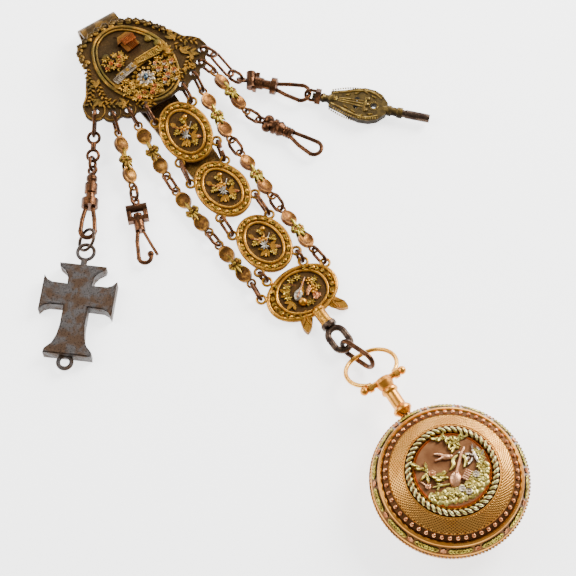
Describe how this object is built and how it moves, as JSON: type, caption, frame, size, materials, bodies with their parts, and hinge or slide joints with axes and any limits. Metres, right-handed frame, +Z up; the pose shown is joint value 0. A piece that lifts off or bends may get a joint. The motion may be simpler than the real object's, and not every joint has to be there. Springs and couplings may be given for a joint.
{
  "type": "chatelaine",
  "caption": "Chatelaine: pierced oval-scene plaque on a belt hook with hinged medallions, leaf-link chains, swivel hooks, a cross, a watch key and a round pocket watch.",
  "frame": {"origin": "middle of the bounding box at the ground the chatelaine lies on", "axes": "+Z up off the ground, +Y towards the plaque and its belt hook, -Y towards the watch, +X to the side with the watch key"},
  "size_m": [0.1302, 0.1942, 0.0158],
  "materials": {
    "gilt": "satin",
    "old_gilt": "satin",
    "pale_gilt": "satin",
    "bronze": "satin",
    "steel": "satin",
    "silver": "satin",
    "rose_gold": "polished",
    "enamel": "gloss",
    "crystal": "polished"
  },
  "bodies": {
    "chains": {"belt_hook": "old_gilt", "plaque": "gilt", "medallion_1": "gilt", "medallion_2": "gilt", "medallion_3": "gilt", "medallion_4": "gilt", "ring_1": "bronze", "figure_eight_link": "bronze", "ring_1_lower": "bronze", "swivel_1": "bronze", "ring_2": "bronze", "leaf_link_2": "old_gilt", "ring_2_lower": "bronze", "swivel_2": "bronze", "ring_3": "bronze", "leaf_link_3a": "old_gilt", "ring_3a": "bronze", "leaf_link_3b": "old_gilt", "ring_3b": "bronze", "leaf_link_3c": "old_gilt", "ring_3c": "bronze", "ring_4": "bronze", "ring_5": "bronze", "ring_12_left": "bronze", "ring_12_right": "bronze", "ring_23_left": "bronze", "ring_23_right": "bronze", "ring_34_left": "bronze", "ring_34_right": "bronze", "ring_6": "bronze", "leaf_link_6a": "pale_gilt", "ring_6a": "bronze", "leaf_link_6b": "pale_gilt", "ring_6b": "bronze", "leaf_link_6c": "pale_gilt", "ring_6c": "bronze", "ring_7": "bronze", "leaf_link_7": "pale_gilt", "ring_7_lower": "bronze", "swivel_7": "bronze", "ring_8": "bronze", "long_link_8": "bronze", "ring_8_lower": "bronze", "swivel_8": "bronze"},
    "cross_hook": {"hook_1": "bronze", "steel_ring": "steel", "cross": "silver"},
    "bare_hook": {"hook_2": "bronze"},
    "right_hook": {"hook_7": "bronze"},
    "key_hook": {"hook_8": "bronze", "key_bail": "bronze"},
    "key": {"key_head": "pale_gilt", "key_pipe": "steel"},
    "watch_hanger": {"watch_hook": "steel", "bow_link": "bronze", "bow": "rose_gold"},
    "watch": {"watch_case": "rose_gold", "watch_bezel": "rose_gold", "watch_crystal": "crystal", "watch_dial": "enamel"}
  },
  "joints": [
    {"name": "cross_hook_swivel", "type": "hinge", "parent": "chains", "child": "cross_hook", "pos_m": [-0.03091, 0.04659, 0.0025], "axis": [-0.5779, -0.8161, 0], "continuous": true},
    {"name": "bare_hook_swivel", "type": "hinge", "parent": "chains", "child": "bare_hook", "pos_m": [-0.02296, 0.03309, 0.0018], "axis": [-0.3875, -0.9219, 0], "continuous": true},
    {"name": "right_hook_swivel", "type": "hinge", "parent": "chains", "child": "right_hook", "pos_m": [0.0282, 0.03429, 0.0024], "axis": [0.4726, -0.8813, 0], "continuous": true},
    {"name": "key_hook_swivel", "type": "hinge", "parent": "chains", "child": "key_hook", "pos_m": [0.03331, 0.04969, 0.0025], "axis": [0.6782, -0.7349, 0], "continuous": true},
    {"name": "key_turn", "type": "hinge", "parent": "key_hook", "child": "key", "pos_m": [0.04292, 0.0385, 0.0025], "axis": [0.682, -0.7314, 0], "continuous": true},
    {"name": "watch_hook_swivel", "type": "hinge", "parent": "chains", "child": "watch_hanger", "pos_m": [0.00345, -0.0211, 0.0029], "axis": [0, -1, 0], "continuous": true},
    {"name": "watch_swing", "type": "hinge", "parent": "watch_hanger", "child": "watch", "pos_m": [0.00479, -0.04471, 0.008], "axis": [0.9986, -0.0523, 0], "range_deg": [-60, 90]}
  ]
}
